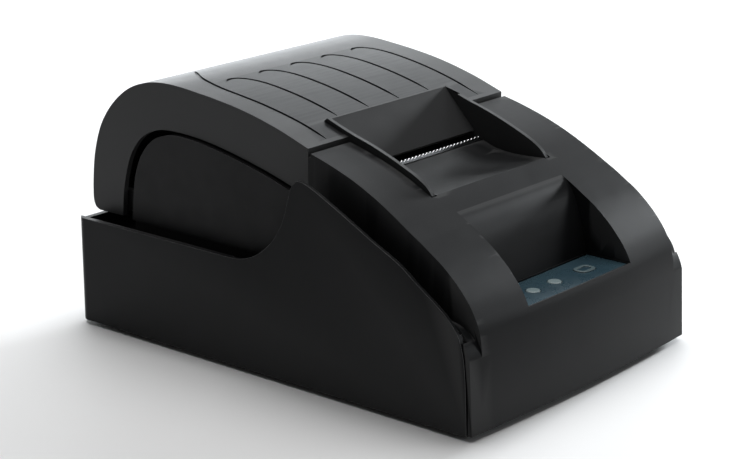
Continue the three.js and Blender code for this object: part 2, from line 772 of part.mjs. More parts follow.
function makePrintHead() {
  const ceramic = box(-28, 28, -22.6, -21.8, 52, 64.6);
  const heaterLine = box(-26, 26, -22, -21.4, 60.2, 61.8);
  return join(ceramic, heaterLine);
}

// A compression spring that presses the heat sink towards the platen.
function makeHeadSpring(x) {
  const turns = 4;
  const length = 7.9;
  const start = -33.9;
  const points = [];
  const stepsPerTurn = 10;
  for (let i = 0; i <= turns * stepsPerTurn; i++) {
    const angle = (2 * Math.PI * i) / stepsPerTurn;
    const y = start + (length * i) / (turns * stepsPerTurn);
    points.push(new THREE.Vector3(x + 2.4 * Math.cos(angle), y, 58.5 + 2.4 * Math.sin(angle)));
  }
  const wire = new THREE.Shape();
  wire.absarc(0, 0, 0.35, 0, 2 * Math.PI);
  const path = new THREE.CatmullRomCurve3(points);
  const geometry = new THREE.ExtrudeGeometry(wire, {
    steps: turns * stepsPerTurn,
    curveSegments: 3,
    bevelEnabled: false,
    extrudePath: path,
  });
  return toSolid(geometry);
}

function makeMotor() {
  const canRadius = 8;
  const flangeX = [27, 28.6];
  const can = cylinderX(MOTOR_Y, MOTOR_Z, canRadius, 10, flangeX[0] + 0.2, 32);
  const flange = box(...flangeX, MOTOR_Y - 5.8, MOTOR_Y + 6.8, MOTOR_Z - canRadius - 0.5, MOTOR_Z + 6.6);
  const boss = cylinderX(MOTOR_Y, MOTOR_Z, 2.6, flangeX[1] - 0.2, GEAR_X[0] - GAP, 20);
  return join(can, flange, boss);
}

function makePinion() {
  const gear = makeGear(PINION_TEETH, MOTOR_Y, MOTOR_Z, ...GEAR_X, 0.9, pinionTurn);
  return join(gear, cylinderX(MOTOR_Y, MOTOR_Z, 1.6, GEAR_X[0], GEAR_X[1] + 1, 16));
}

function makeIdlerAxle() {
  return join(
    cylinderX(IDLER_Y, IDLER_Z, 1.5, GEAR_X[0] - 0.6, SIDE_PLATE[1], 16),
    cylinderX(IDLER_Y, IDLER_Z, 2.4, GEAR_X[0] - 1.1, GEAR_X[0] - 0.4, 16),
  );
}

function makeTearBar() {
  const teeth = 30;
  const half = 30.6;
  const top = 71.6;
  const outline = [[-half, 66.2], [half, 66.2]];
  const pitch = (2 * half) / teeth;
  for (let i = 0; i < teeth; i++) {
    outline.push([half - i * pitch, top]);
    outline.push([half - (i + 0.5) * pitch, top + 0.7]);
  }
  outline.push([-half, top]);
  return extrudeY(outline, -23.8, -23.2);
}

// ---------- Controls and electronics ----------
function makePanelFilm() {
  const film = box(-30.4, 30.4, -90.9, PANEL_BACK - 0.6, PANEL_Z + 0.05, PANEL_Z + 0.5);
  const holes = [
    ...LED_X.map((x) => cylinderZ(x, CONTROL_Y, LED_RADIUS + GAP, 30, 40, 24)),
    extrudeZ(roundedRectangle(...buttonPlan(GAP), BUTTON_CORNER + GAP, 4), 30, 40),
  ];
  return cut(film, ...holes);
}

function makeLedLens(x) {
  const profile = [
    [0, 31.6],
    [LED_RADIUS, 31.6],
    [LED_RADIUS, PANEL_Z + 0.5],
    [LED_RADIUS * 0.7, PANEL_Z + 0.85],
    [0, PANEL_Z + 1],
  ].map(([radius, z]) => new THREE.Vector2(radius, z));
  const geometry = new THREE.LatheGeometry(profile, 24).rotateX(Math.PI / 2);
  return toSolid(geometry.translate(x, CONTROL_Y, 0));
}

function makeFeedButton() {
  const cap = extrudeZ(roundedRectangle(...buttonPlan(0), BUTTON_CORNER, 4), 33.4, PANEL_Z + 1.3);
  const flange = extrudeZ(roundedRectangle(...buttonPlan(1), BUTTON_CORNER, 4), 33, 33.8);
  const dimple = extrudeZ(
    roundedRectangle(BUTTON_X - 2.4, BUTTON_X + 2.4, CONTROL_Y - 1.3, CONTROL_Y + 1.3, 1.1, 3),
    PANEL_Z + 0.9, PANEL_Z + 3,
  );
  return cut(join(cap, flange), dimple);
}

function makeTactSwitch() {
  return join(
    box(BUTTON_X - 3, BUTTON_X + 3, CONTROL_Y - 3, CONTROL_Y + 3, 28.9, 31.2),
    cylinderZ(BUTTON_X, CONTROL_Y, 1.7, 31, 32.2, 16),
  );
}

function makeMainBoard() {
  const plate = box(-50, 50, -84, -40, 8, 9.6);
  return cut(plate, ...BOARD_SCREWS.map(([x, y]) => cylinderZ(x, y, 1.6, 7, 11, 12)),
    ...COVER_SCREWS.map(([x, y]) => cylinderZ(x, y, 3.9, 7, 11, 16)));
}

// A pan-head screw with a plain shank, pointing down from its head at z.
function makeScrew(x, y, z, length, shank, head) {
  return join(
    cylinderZ(x, y, head, z, z + 1.2, 16),
    cylinderZ(x, y, shank, z - length, z + 0.2, 12),
  );
}

// A screw that goes up into the case from below.
function makeCaseScrew(x, y) {
  return join(cylinderZ(x, y, 2.4, 0.9, 2.1, 16), cylinderZ(x, y, 1.2, 1.5, 13, 12));
}

function makeDataSocket() {
  const x = REAR_SOCKETS.data;
  const shell = box(x - 6, x + 6, 80, 94.4, 11, 23);
  const mouth = box(x - 4.4, x + 4.4, 84, 96, 12.8, 21.2);
  const tongue = box(x - 2.8, x + 2.8, 82, 93.4, 15.4, 18.6);
  return join(cut(shell, mouth), tongue);
}

function makePowerSocket() {
  const x = REAR_SOCKETS.power;
  const shell = box(x - 6, x + 6, 79, 94.4, 11, 23);
  const mouth = cylinderY(x, SOCKET_Z, 4.2, 83, 96, 28);
  const pin = cylinderY(x, SOCKET_Z, 1.1, 82, 93.2, 14);
  return join(cut(shell, mouth), pin);
}

function makeDrawerSocket() {
  const x = REAR_SOCKETS.drawer;
  const shell = box(x - 8, x + 8, 79, 94.4, 11, 25);
  const mouth = box(x - 5, x + 5, 82, 96, 14.4, 21.6);
  const latchGroove = box(x - 3.2, x + 3.2, 84, 96, 12.6, 15);
  return cut(shell, mouth, latchGroove);
}

function makeInterfaceBoard() {
  return box(-30, 38, 75, 91.4, 9.4, 10.7);
}

function makeSwitchHousing() {
  const x = REAR_SOCKETS.rocker;
  const bezel = box(x - 11, x + 11, CASE_REAR + 0.2, CASE_REAR + 1.6, 9, 25);
  const barrel = box(x - 9.5, x + 9.5, 82, CASE_REAR + 0.4, 10.5, 23.5);
  const well = box(x - 8, x + 8, 84.4, 97, 12, 22);
  const pinBore = cylinderZ(x, ROCKER_Y, 1.2, 10.9, 23.1, 12);
  return cut(join(bezel, barrel), well, pinBore);
}

// The rocker turns about an upright pin; at rest one end is pressed in and the other stands out.
function makeRocker() {
  const plan = [
    [-6.8, -1.5],
    [0, -4.4],
    [6.8, -1.5],
    [6.8, 5.6],
    [0, 4.2],
    [-6.8, 5.6],
  ];
  const turned = new THREE.Matrix4().makeRotationZ(THREE.MathUtils.degToRad(ROCKER_TILT));
  const place = [REAR_SOCKETS.rocker, ROCKER_Y, 12.5];
  const pin = cylinderZ(REAR_SOCKETS.rocker, ROCKER_Y, 0.9, 11.2, 22.8, 12);
  return join(extrudeShape(plan, 9, turned, place), pin);
}

// A flat ribbon cable, 0.4 mm thick, along a side profile of its route.
function makeRibbon(route, x0, x1) {
  const line = curveThrough(route, 24);
  return extrudeX([...line, ...offset(line, 0.4).reverse()], x0, x1);
}

const PANEL_RIBBON = [
  [-78, 26.7],
  [-78.6, 22],
  [-74, 15],
  [-70.6, 13],
  [-70, 10],
];
const HEAD_RIBBON = [
  [-24, 49],
  [-25.4, 42],
  [-28, 32],
  [-34, 30.2],
  [-40, 29],
  [-43.6, 20],
  [-44.6, 10],
];

// ---------- Build ----------
addPiece("lower_case", makeLowerCase(), BLACK_ABS());
addPiece("front_cover", makeFrontCover(), BLACK_ABS());
addPiece("lid", makeLid(), LID_ABS());
addPiece("paper_bin", makePaperBin(), INNER_ABS());
addPiece("roller_bracket", makeRollerBracket(), INNER_ABS());

FOOT_PLACES.forEach(([x, y], i) => addPiece(`rubber_foot_${i + 1}`, makeFoot(x, y), RUBBER()));
for (const side of [1, -1]) {
  const where = side > 0 ? "right" : "left";
  addPiece(`hinge_pin_${where}`, makeHingePin(side), STEEL());
  addPiece(`platen_bush_${where}`, makeBush(side), NYLON());
  addPiece(`head_spring_${where}`, makeHeadSpring(side * 14), STEEL());
}

addPiece("platen_rubber", makePlatenRubber(), RUBBER());
addPiece("platen_shaft", makePlatenShaft(), STEEL());
addPiece(
  "platen_gear",
  makeGear(PLATEN_TEETH, PLATEN_Y, PLATEN_Z, ...GEAR_X, SHAFT_RADIUS + 0.05, toIdler),
  NYLON(),
);
addPiece("idler_gear", makeGear(IDLER_TEETH, IDLER_Y, IDLER_Z, ...GEAR_X, 1.55, idlerTurn), NYLON());
addPiece("idler_axle", makeIdlerAxle(), STEEL());
addPiece("motor_pinion", makePinion(), BRASS());
addPiece("stepper_motor", makeMotor(), ALUMINIUM());
addPiece("mechanism_frame", makeMechanismFrame(), INNER_ABS());
addPiece("head_heat_sink", makeHeatSink(), ALUMINIUM());
addPiece("print_head", makePrintHead(), finish(0xd8d2c0, 0.3));
addPiece("tear_bar", makeTearBar(), STEEL());
addPiece("paper_sensor", makePaperSensor(), finish(0x101012, 0.5));

addPiece("control_film", makePanelFilm(), FILM_BLUE());
addPiece("power_led_lens", makeLedLens(LED_X[0]), LENS_WHITE());
addPiece("paper_led_lens", makeLedLens(LED_X[1]), LENS_WHITE());
addPiece("feed_button", makeFeedButton(), finish(0xb9c4c6, 0.4));
addPiece("feed_switch", makeTactSwitch(), finish(0x202022, 0.5));
addPiece("panel_board", box(-28, 28, -89, -74, 27.2, 28.6), BOARD_GREEN());
addPiece("main_board", makeMainBoard(), BOARD_GREEN());
addPiece("interface_board", makeInterfaceBoard(), BOARD_GREEN());
addPiece("power_socket", makePowerSocket(), finish(0x121214, 0.5));
addPiece("data_socket", makeDataSocket(), STEEL());
addPiece("drawer_socket", makeDrawerSocket(), finish(0x2a2a2c, 0.5));
addPiece("switch_housing", makeSwitchHousing(), finish(0x101012, 0.45));
addPiece("power_rocker", makeRocker(), finish(0x161618, 0.4));
FRAME_POSTS.forEach(([x, y], i) =>
  addPiece(`frame_screw_${i + 1}`, makeScrew(x, y, 27.9, 13, 1.3, 2.8), STEEL()),
);
BOARD_SCREWS.forEach(([x, y], i) =>
  addPiece(`board_screw_${i + 1}`, makeScrew(x, y, 9.9, 6, 1.2, 2.6), STEEL()),
);
addPiece("panel_ribbon", makeRibbon(PANEL_RIBBON, -22, -12), finish(0xd9d9d4, 0.5));
addPiece("head_ribbon", makeRibbon(HEAD_RIBBON, -24, -8), finish(0xc7a25a, 0.45));
COVER_SCREWS.forEach(([x, y], i) =>
  addPiece(`case_screw_${i + 1}`, makeCaseScrew(x, y), STEEL()),
);

export default printer;
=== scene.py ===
# Receipt printer: the visual model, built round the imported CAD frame.
# Shapes and the camera are in millimetres. Materials, lights and the floor are in Blender's metres.
import json
import math

import bmesh
import bpy
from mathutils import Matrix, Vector


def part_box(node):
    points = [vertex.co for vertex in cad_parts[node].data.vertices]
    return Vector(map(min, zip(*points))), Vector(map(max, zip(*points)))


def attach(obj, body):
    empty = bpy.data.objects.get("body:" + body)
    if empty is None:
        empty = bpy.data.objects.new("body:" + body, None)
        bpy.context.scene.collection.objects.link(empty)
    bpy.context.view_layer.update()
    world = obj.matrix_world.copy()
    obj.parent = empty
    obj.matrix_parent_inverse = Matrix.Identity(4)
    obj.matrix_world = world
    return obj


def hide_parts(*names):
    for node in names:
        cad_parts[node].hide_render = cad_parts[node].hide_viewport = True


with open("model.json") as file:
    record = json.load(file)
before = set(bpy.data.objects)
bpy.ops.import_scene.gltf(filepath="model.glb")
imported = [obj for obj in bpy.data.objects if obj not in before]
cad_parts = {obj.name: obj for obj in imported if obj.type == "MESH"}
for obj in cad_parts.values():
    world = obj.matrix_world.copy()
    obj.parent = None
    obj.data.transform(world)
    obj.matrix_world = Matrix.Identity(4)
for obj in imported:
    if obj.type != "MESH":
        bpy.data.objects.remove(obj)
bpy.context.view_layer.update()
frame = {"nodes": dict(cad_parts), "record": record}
MM = 0.001


# ---------- Places read from the frame ----------
def corners(node):
    low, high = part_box(node)
    return [v / MM for v in low], [v / MM for v in high]


CASE_LOW, CASE_HIGH = corners("lower_case")
LID_HIGH = corners("lid")[1]
BIN_LOW, BIN_HIGH = corners("paper_bin")
COVER_LOW = corners("front_cover")[0]
BASE_Z = CASE_LOW[2]              # the case's underside; the profiles below are measured from it
CASE_HALF = CASE_HIGH[0]
CASE_REAR = CASE_HIGH[1]
LID_HALF = LID_HIGH[0]
PAD_HALF = BIN_HIGH[0]
COVER_HALF = LID_HALF + 1.0
FILM_LOW, FILM_HIGH = corners("control_film")


# ---------- Curves and outlines ----------
def spline(knots, step=1.2):
    """Points about one step apart on a smooth curve through the knots."""
    points = [Vector(k) for k in knots]
    line = []
    for i in range(len(points) - 1):
        before = points[i - 1] if i else 2 * points[0] - points[1]
        start, end = points[i], points[i + 1]
        after = points[i + 2] if i + 2 < len(points) else 2 * end - start
        gaps = [math.sqrt(max((b - a).length, 1e-6))
                for a, b in ((before, start), (start, end), (end, after))]
        into = ((start - before) / gaps[0] - (end - before) / (gaps[0] + gaps[1])
                + (end - start) / gaps[1]) * gaps[1]
        out = ((end - start) / gaps[1] - (after - start) / (gaps[1] + gaps[2])
               + (after - end) / gaps[2]) * gaps[1]
        count = max(2, round((end - start).length / step))
        for k in range(count):
            t = k / count
            a, b = 2 * t**3 - 3 * t**2 + 1, t**3 - 2 * t**2 + t
            c, d = 3 * t**2 - 2 * t**3, t**3 - t**2
            line.append(a * start + b * into + c * end + d * out)
    line.append(points[-1])
    return [tuple(p) for p in line]


def shifted(line, distance):
    """The same [y, z] line moved sideways, to the left of its direction."""
    moved = []
    for i, point in enumerate(line):
        before, after = line[max(i - 1, 0)], line[min(i + 1, len(line) - 1)]
        dy, dz = after[0] - before[0], after[1] - before[1]
        length = math.hypot(dy, dz)
        moved.append((point[0] - distance * dz / length, point[1] + distance * dy / length))
    return moved


def rounded_box(x0, x1, y0, y1, radius, steps=8):
    """A rectangle with round corners, anticlockwise."""
    centres = [(x1 - radius, y0 + radius), (x1 - radius, y1 - radius), (x0 + radius, y1 - radius),
               (x0 + radius, y0 + radius)]
    line = []
    for quarter, (x, y) in enumerate(centres):
        for k in range(steps + 1):
            angle = math.radians(-90 + 90 * quarter + 90 * k / steps)
            line.append((x + radius * math.cos(angle), y + radius * math.sin(angle)))
    return line


def arc(centre, radius, start, end, steps=16):
    angles = [math.radians(start + (end - start) * k / steps) for k in range(steps + 1)]
    return [(centre[0] + radius * math.cos(a), centre[1] + radius * math.sin(a)) for a in angles]


# ---------- Mesh helpers ----------
def as_object(name, bm):
    mesh = bpy.data.meshes.new(name)
    bmesh.ops.recalc_face_normals(bm, faces=bm.faces)
    bm.to_mesh(mesh)
    bm.free()
    piece = bpy.data.objects.new(name, mesh)
    bpy.context.scene.collection.objects.link(piece)
    return piece


PLACE = {
    "x": lambda a, b, along: (along, a, b),
    "y": lambda a, b, along: (a, along, b),
    "z": lambda a, b, along: (a, b, along),
}


def prism(axis, outline, start, end):
    """An outline in the plane across the axis, carried from start to end along it, in case millimetres."""
    bm = bmesh.new()
    rings = []
    for along in (start, end):
        ring = []
        for a, b in outline:
            x, y, z = PLACE[axis](a, b, along)
            ring.append(bm.verts.new((x * MM, y * MM, (z + BASE_Z) * MM)))
        rings.append(ring)
    count = len(outline)
    for i in range(count):
        j = (i + 1) % count
        bm.faces.new((rings[0][i], rings[0][j], rings[1][j], rings[1][i]))
    bm.faces.new(rings[0])
    bm.faces.new(rings[1])
    return as_object("prism", bm)


def block(x0, x1, y0, y1, z0, z1):
    return prism("z", [(x0, y0), (x1, y0), (x1, y1), (x0, y1)], z0, z1)


def rod(axis, a, b, radius, start, end, sides=48):
    return prism(axis, arc((a, b), radius, 0, 360 - 360 / sides, sides - 1), start, end)


def mirrored(make):
    """The piece that make(side) builds on the right, and its mirror on the left."""
    return [make(1), make(-1)]


def side_prism(side, outline, inner, outer):
    return prism("x", outline, inner, outer) if side > 0 else prism("x", outline, -outer, -inner)


def combine(target, others, operation):
    for other in others:
        step = target.modifiers.new("step", "BOOLEAN")
        step.operation = operation
        step.solver = "EXACT"
        step.object = other
        graph = bpy.context.evaluated_depsgraph_get()
        result = bpy.data.meshes.new_from_object(target.evaluated_get(graph))
        target.modifiers.clear()
        target.data = result
        bpy.data.objects.remove(other)
    return target


def carve(target, *cutters):
    return combine(target, cutters, "DIFFERENCE")


def fuse(target, *others):
    return combine(target, others, "UNION")


def turn_angle(edge):
    return math.degrees(edge.calc_face_angle(0.0)) if len(edge.link_faces) == 2 else 0.0


def clean(bm, flat=0.4):
    bmesh.ops.remove_doubles(bm, verts=bm.verts, dist=2e-6)
    bmesh.ops.dissolve_limit(bm, angle_limit=math.radians(flat), verts=bm.verts, edges=bm.edges,
                             delimit={"NORMAL"})


def round_edges(piece, *rules, angle=34, steps=3, own_material=False):
    """Rounds sharp edges. Each rule is (width, test of the edge's middle in case millimetres), and the
    first that holds gives the width. Edges that no rule picks stay sharp. With own_material, the
    rounded faces take a light grey material that paints the highlight caught along the fillets."""
    bm = bmesh.new()
    bm.from_mesh(piece.data)
    clean(bm)
    layer = bm.edges.layers.float.new("bevel_weight_edge")
    chosen = {}
    for edge in bm.edges:
        if turn_angle(edge) < angle:
            continue
        middle = (edge.verts[0].co + edge.verts[1].co) / 2 / MM
        place = (middle.x, middle.y, middle.z - BASE_Z)
        for width, test in rules:
            if test(place, edge):
                chosen.setdefault(width, []).append(edge)
                break
    widest = max(chosen, default=0)
    for width, edges in chosen.items():
        for edge in edges:
            edge[layer] = width / widest
    bm.to_mesh(piece.data)
    bm.free()
    if widest:
        soft = piece.modifiers.new("soft", "BEVEL")
        if own_material:
            # finish_piece puts the piece's own material in the first place.
            piece.data.materials.append(CASE_BLACK)
            # The second material is a light grey: a painted highlight along the rounded edges.
            piece.data.materials.append(EDGE_PAINTED_HIGHLIGHT)
            soft.material = 1
        soft.limit_method = "WEIGHT"
        soft.width = widest * MM
        soft.segments = steps
        soft.use_clamp_overlap = True
        soft.miter_outer = "MITER_ARC"
        graph = bpy.context.evaluated_depsgraph_get()
        result = bpy.data.meshes.new_from_object(piece.evaluated_get(graph))
        piece.modifiers.clear()
        piece.data = result
    return piece


def convex(edge):
    return edge.is_convex


def every_convex(place, edge):
    return convex(edge)


def finish_piece(piece, name, body, *nodes, material, slot):
    """Names a piece, shades it, and puts it in the frame in place of the CAD nodes."""
    piece.name = name
    piece.data.name = name
    for face in piece.data.polygons:
        face.use_smooth = True
    piece.data.set_sharp_from_angle(angle=math.radians(38))
    weighted = piece.modifiers.new("normals", "WEIGHTED_NORMAL")
    weighted.keep_sharp = True
    if len(piece.data.materials) < 2:
        piece.data.materials.clear()
        piece.data.materials.append(material)
    piece.data.materials[0] = material
    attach(piece, body)
    if nodes:
        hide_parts(*nodes)
    return piece


# ---------- Materials ----------
def new_material(name):
    material = bpy.data.materials.new(name)
    material.use_nodes = True
    nodes = material.node_tree.nodes
    return material, nodes, material.node_tree.links, nodes["Principled BSDF"]


def noise(nodes, links, source, scale, detail=3.0, rough=0.55):
    node = nodes.new("ShaderNodeTexNoise")
    node.inputs["Scale"].default_value = scale
    node.inputs["Detail"].default_value = detail
    node.inputs["Roughness"].default_value = rough
    links.new(source, node.inputs["Vector"])
    return node.outputs["Fac"]


def spread(nodes, links, value, low, high, start=0.3, end=0.7):
    """Maps a noise value onto the range low to high."""
    node = nodes.new("ShaderNodeMapRange")
    node.inputs["From Min"].default_value = start
    node.inputs["From Max"].default_value = end
    node.inputs["To Min"].default_value = low
    node.inputs["To Max"].default_value = high
    links.new(value, node.inputs["Value"])
    return node.outputs["Result"]


def blend_colour(nodes, links, factor, first, second):
    node = nodes.new("ShaderNodeMix")
    node.data_type = "RGBA"
    node.inputs["A"].default_value = (*first, 1)
    node.inputs["B"].default_value = (*second, 1)
    links.new(factor, node.inputs["Factor"])
    return node.outputs["Result"]


def edge_wear(nodes, links, colour, worn, amount):
    """Lightens the colour where the surface is sharply convex."""
    geometry = nodes.new("ShaderNodeNewGeometry")
    worn_share = spread(nodes, links, geometry.outputs["Pointiness"], 0.0, amount, 0.53, 0.62)
    node = nodes.new("ShaderNodeMix")
    node.data_type = "RGBA"
    links.new(colour, node.inputs["A"])
    node.inputs["B"].default_value = (*worn, 1)
    links.new(worn_share, node.inputs["Factor"])
    return node.outputs["Result"]


def moulded(name, dark, light, rough, grain_depth, grain_scale=2600.0, wear=(0.1, 0.1, 0.1), wear_amount=0.3,
            specular=0.5, coat=0.0):
    """Moulded plastic: spark-eroded grain, faint blotches in colour and gloss, and slightly worn edges."""
    material, nodes, links, shader = new_material(name)
    place = nodes.new("ShaderNodeTexCoord").outputs["Object"]
    blotch = noise(nodes, links, place, 45.0, 4.0)
    smear = noise(nodes, links, place, 140.0, 5.0, 0.65)
    grain = noise(nodes, links, place, grain_scale, 2.0, 0.5)
    colour = blend_colour(nodes, links, spread(nodes, links, blotch, 0, 1), dark, light)
    links.new(edge_wear(nodes, links, colour, wear, wear_amount), shader.inputs["Base Color"])
    links.new(spread(nodes, links, smear, rough[0], rough[1]), shader.inputs["Roughness"])
    bump = nodes.new("ShaderNodeBump")
    bump.inputs["Strength"].default_value = grain_depth
    bump.inputs["Distance"].default_value = 0.00005
    links.new(grain, bump.inputs["Height"])
    links.new(bump.outputs["Normal"], shader.inputs["Normal"])
    shader.inputs["Specular IOR Level"].default_value = specular
    shader.inputs["Coat Weight"].default_value = coat
    return material


def metal(name, colour, rough, stretch=(1, 1, 1), brush_scale=900.0, depth=0.25):
    """Metal with brush or turning marks, stretched along the axes whose factor is small."""
    material, nodes, links, shader = new_material(name)
    place = nodes.new("ShaderNodeTexCoord").outputs["Object"]
    mapping = nodes.new("ShaderNodeMapping")
    mapping.inputs["Scale"].default_value = stretch
    links.new(place, mapping.inputs["Vector"])
    marks = noise(nodes, links, mapping.outputs["Vector"], brush_scale, 3.0)
    tarnish = noise(nodes, links, place, 220.0, 3.0)
    duller = tuple(0.72 * c for c in colour)
    shade = blend_colour(nodes, links, spread(nodes, links, tarnish, 0, 1), colour, duller)
    links.new(edge_wear(nodes, links, shade, tuple(min(1, 1.15 * c) for c in colour), 0.5),
              shader.inputs["Base Color"])
    links.new(spread(nodes, links, marks, rough[0], rough[1]), shader.inputs["Roughness"])
    shader.inputs["Metallic"].default_value = 1.0
    bump = nodes.new("ShaderNodeBump")
    bump.inputs["Strength"].default_value = depth
    bump.inputs["Distance"].default_value = 0.00004
    links.new(marks, bump.inputs["Height"])
    links.new(bump.outputs["Normal"], shader.inputs["Normal"])
    return material


CASE_BLACK = moulded("case_black", (0.0078, 0.0081, 0.0086), (0.0100, 0.0103, 0.0109), (0.36, 0.40), 0.30,
                    specular=0.09)
LID_BLACK = moulded("lid_black", (0.0078, 0.0083, 0.0092), (0.0100, 0.0106, 0.0116), (0.32, 0.36), 0.26,
                   specular=0.17)
# A light grey for the rounded edges of the case and the bin: a painted highlight where the fillets catch
# light.
EDGE_PAINTED_HIGHLIGHT = moulded("edge_painted_highlight", (0.12, 0.122, 0.126), (0.15, 0.152, 0.156), (0.30, 0.36), 0.2,
                     specular=0.5)
INNER_BLACK = moulded("inner_black", (0.009, 0.009, 0.0095), (0.013, 0.013, 0.0135), (0.44, 0.55), 0.35,
                     specular=0.15)
PART_BLACK = moulded("part_black", (0.010, 0.010, 0.011), (0.016, 0.016, 0.017), (0.35, 0.5), 0.2)
RUBBER = moulded("rubber", (0.018, 0.018, 0.018), (0.028, 0.027, 0.026), (0.72, 0.88), 0.5, 1500.0,
                 specular=0.3)
NYLON = moulded("nylon", (0.62, 0.60, 0.54), (0.70, 0.68, 0.62), (0.35, 0.5), 0.15, wear=(0.8, 0.79, 0.75))
BUTTON_GREY = moulded("button_grey", (0.075, 0.115, 0.125), (0.095, 0.14, 0.15), (0.32, 0.42), 0.15,
                      wear=(0.6, 0.65, 0.66))
CERAMIC = moulded("ceramic", (0.55, 0.52, 0.44), (0.62, 0.59, 0.5), (0.15, 0.25), 0.1, wear=(0.7, 0.68, 0.6))
BOARD = moulded("board", (0.008, 0.055, 0.022), (0.012, 0.08, 0.032), (0.25, 0.35), 0.35, 700.0,
                wear=(0.25, 0.24, 0.15), coat=0.3)
RIBBON = moulded("ribbon", (0.52, 0.52, 0.5), (0.6, 0.6, 0.58), (0.35, 0.45), 0.3, 900.0,
                 wear=(0.7, 0.7, 0.7))
AMBER = moulded("amber", (0.34, 0.15, 0.03), (0.44, 0.2, 0.045), (0.18, 0.28), 0.2, 900.0,
                wear=(0.6, 0.35, 0.1))
STEEL = metal("steel", (0.56, 0.57, 0.59), (0.24, 0.38), (0.15, 1, 1))
BRIGHT_STEEL = metal("bright_steel", (0.82, 0.83, 0.85), (0.16, 0.26), (0.1, 1, 1), 1400.0, 0.12)
ALUMINIUM = metal("aluminium", (0.66, 0.67, 0.69), (0.3, 0.45), (1, 0.15, 1))
BRASS = metal("brass", (0.72, 0.52, 0.22), (0.22, 0.36), (1, 0.2, 1))
FILM = moulded("film", (0.018, 0.044, 0.062), (0.024, 0.055, 0.074), (0.24, 0.32), 0.12, 1800.0,
               wear=(0.1, 0.16, 0.18))
LENS = moulded("lens", (0.19, 0.25, 0.26), (0.24, 0.30, 0.31), (0.16, 0.24), 0.06,
               wear=(0.45, 0.5, 0.5), coat=0.2)


# ---------- Side profiles as [y, z], measured from the case's underside ----------
LID_FRONT = -14.8
RAIL_START = -15.1
SKIN = 2.2
LID_TOP = spline([(91.2, 41.5), (93.3, 42.5), (94.3, 45), (94.4, 49), (94, 55), (92.6, 64.3), (88.6, 75.5),
                  (82, 84.4), (73, 91.4), (63, 95), (53, 96), (37, 94.9), (17, 92.2), (0, 88.2),
                  (LID_FRONT, 83.3)])
LID_BAND = spline([(78.6, 41.5), (77.8, 50), (76, 58.5), (72.5, 67.3), (66.5, 74.2), (58, 78), (47.3, 78.7),
                   (30.3, 77.2), (7.1, 72.4), (LID_FRONT, 66.2)])
PAD_BOTTOM = 41.4
BIN_FRONT = -6.2
PAD_EDGE = spline([(72, PAD_BOTTOM), (71.2, 49.4), (69.2, 60.5), (65.3, 68.6), (59, 74.7), (50.4, 77.5),
                   (42.8, 77.7), (30.3, 76.3), (7.1, 71.5), (BIN_FRONT, 67.6)])
RIM = 40.5
WALL_TOP = spline([(14.6, RIM), (8, 41.3), (0.7, 44.6), (-6.2, 50.7), (-10.8, 57.9), (-13.6, 66.5),
                   (-15.6, 72.2), (-18.2, 74.3), (-22, 73.7), (-35, 67.8), (-50.4, 59.9), (-63.2, 53.5),
                   (-71.3, 47.9), (-79.4, 42.5), (-84.1, 38.7), (-87.6, 34.4), (-89.8, 28), (-90.9, 18)])
PANEL_Z = 36.5
FACE_FOOT_Y = -93.6
RAIL_TOP = spline([(RAIL_START, 82.0), (-23, 80.0), (-35, 76.2), (-45.5, 71.8), (-55, 66.9), (-62, 62.9),
                   (-66.1, 60.6), (-70.4, 57.9), (-74.7, 55.2), (-78.9, 51.9), (-83.2, 47.9), (-87.4, 42.8),
                   (-89.6, 39.0), (-91.1, 35.2), (-91.9, 31), (-92.3, 26.5)])
RIDGE_Y = -52.2
DISH = spline([(-24.2, 70.6), (-30, 68.7), (-37, 67.9), (-44, 67.9), (-49, 68.2), (RIDGE_Y, 68.4)])
DRUM = spline([(-60.5, 63.76), (-62.7, 62.2), (-64.9, 59.6), (-67.1, 55.4), (-69.3, 48.8), (-71.2, 41.6),
               (-72.4, PANEL_Z)])
CORNER_TOP = spline([(-79, 38.4), (-83.6, 37.4), (-86.8, 35.4), (-89.6, 32.2), (-91.6, 28.4), (-93.4, 22.6)])
VISOR_TOP = spline([(-4.8, 88.3), (-14.8, 84.8), (-26, 81.5), (-36.9, 77.5), (-45.8, 73.6), (-50, 70.9),
                    (-52.2, 68.4)])
WINDOW_HALF = 32.5
CHEEK = 1.6
CHANNEL_HALF = 34.8
VALLEY_HALF = 31
COVER_FLARE = [(-95, 1.8), (-74, 1.8), (-63, 1.6), (-50, 0.8), (-35, 0), (RAIL_START, -0.8), (0, -0.8)]
FLARE_START = 44


# ---------- Lower case ----------
WALL_INNER = CASE_HALF - SKIN
THIN_FROM = 34.5                  # above this the side walls are thinner, as their edge shows
THIN_WALL = 1.3


